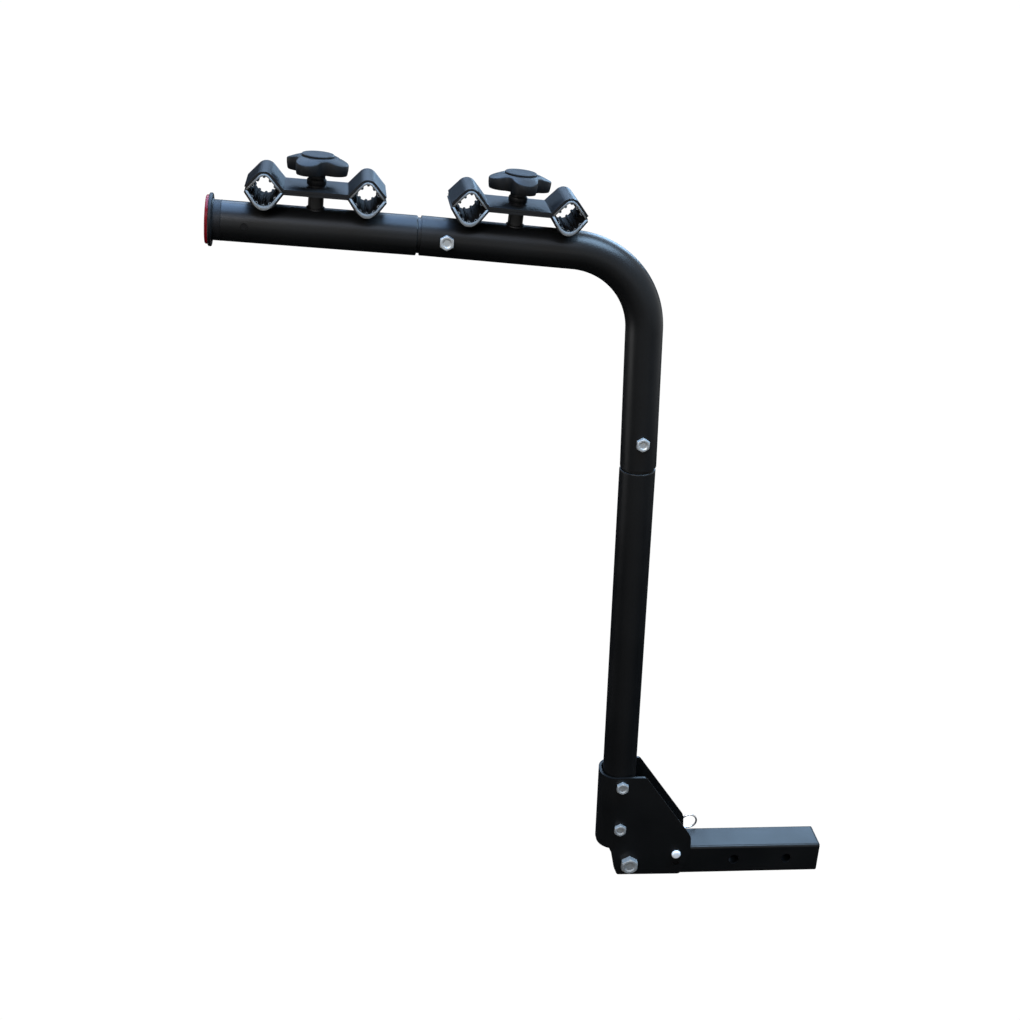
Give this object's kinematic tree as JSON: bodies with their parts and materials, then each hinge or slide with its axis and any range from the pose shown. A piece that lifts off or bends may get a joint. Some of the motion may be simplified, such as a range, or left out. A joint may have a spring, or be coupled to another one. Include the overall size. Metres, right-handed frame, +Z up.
{
  "type": "hitch bike rack",
  "caption": "Receiver-hitch bike rack with a tilting bent mast, a cantilevered arm, clamping cradles under star knobs and a red end reflector.",
  "frame": {"origin": "centre of the hitch pin bore in the receiver shank", "axes": "+X towards the vehicle, +Y across it along the hitch pin, +Z up"},
  "size_m": [0.9314, 0.0895, 1.1021],
  "materials": {
    "powder_coat": "satin black powder coat",
    "zinc": "bright zinc plate",
    "wire": "zinc plated spring wire",
    "black_plastic": "moulded, fine grain",
    "grey_rubber": "matt ribbed grey rubber",
    "red_reflector": "clear red, prismatic back",
    "insert": "plain brass"
  },
  "bodies": {
    "shank": {"shank_tube": "powder_coat", "pivot_sleeve": "powder_coat", "shank_end_plug": "black_plastic"},
    "upright": {"tilt_bracket": "powder_coat", "pivot_bolt": "zinc", "pivot_washer": "zinc", "pivot_nut": "zinc", "mast_tube": "powder_coat", "mast_bolts": "zinc", "mast_nuts": "zinc", "elbow_tube": "powder_coat", "elbow_bolts": "zinc", "elbow_nuts": "zinc", "outer_arm": "powder_coat", "end_cap": "black_plastic", "reflector": "red_reflector", "outer_post": "powder_coat", "outer_stud": "zinc", "outer_lower_strap": "powder_coat", "outer_lower_liners": "grey_rubber", "inner_post": "powder_coat", "inner_stud": "zinc", "inner_lower_strap": "powder_coat", "inner_lower_liners": "grey_rubber"},
    "lock_pin": {"lock_pin": "zinc"},
    "clip": {"spring_clip": "wire"},
    "outer_follower": {"outer_washer": "zinc"},
    "outer_strap": {"outer_upper_strap": "powder_coat", "outer_upper_liners": "grey_rubber"},
    "outer_knob": {"outer_knob": "black_plastic", "outer_knob_cap": "black_plastic", "outer_knob_insert": "insert"},
    "inner_follower": {"inner_washer": "zinc"},
    "inner_strap": {"inner_upper_strap": "powder_coat", "inner_upper_liners": "grey_rubber"},
    "inner_knob": {"inner_knob": "black_plastic", "inner_knob_cap": "black_plastic", "inner_knob_insert": "insert"}
  },
  "joints": [
    {"name": "tilt", "type": "hinge", "parent": "shank", "child": "upright", "pos_m": [-0.2547, 0, 0], "axis": [0, -1, 0], "range_deg": [0, 70]},
    {"name": "pin_pull", "type": "slide", "parent": "upright", "child": "lock_pin", "axis": [0, -1, 0], "range_m": [0, 0.07]},
    {"name": "clip_pull", "type": "slide", "parent": "upright", "child": "clip", "axis": [0.7193, 0, 0.6947], "range_m": [0, 0.035]},
    {"name": "outer_lift", "type": "slide", "parent": "upright", "child": "outer_follower", "axis": [0.0495, 0, 0.9988], "range_m": [0, 0.021]},
    {"name": "outer_knob_turn", "type": "hinge", "parent": "outer_follower", "child": "outer_knob", "pos_m": [-0.73951, 0, 1.03586], "axis": [0.0495, 0, 0.9988], "range_deg": [0, 5041]},
    {"name": "outer_strap_swing", "type": "hinge", "parent": "outer_follower", "child": "outer_strap", "pos_m": [-0.73951, 0, 1.03586], "axis": [0.0495, 0, 0.9988], "range_deg": [-90, 90]},
    {"name": "inner_lift", "type": "slide", "parent": "upright", "child": "inner_follower", "axis": [0.0631, 0, 0.998], "range_m": [0, 0.021]},
    {"name": "inner_knob_turn", "type": "hinge", "parent": "inner_follower", "child": "inner_knob", "pos_m": [-0.48488, 0, 1.02204], "axis": [0.0631, 0, 0.998], "range_deg": [0, 5041]},
    {"name": "inner_strap_swing", "type": "hinge", "parent": "inner_follower", "child": "inner_strap", "pos_m": [-0.48488, 0, 1.02204], "axis": [0.0631, 0, 0.998], "range_deg": [-90, 90]}
  ],
  "couplings": [
    {"joint": "outer_knob_turn", "follows": "outer_lift", "rad_per_m": 4188.8},
    {"joint": "inner_knob_turn", "follows": "inner_lift", "rad_per_m": 4188.8}
  ]
}
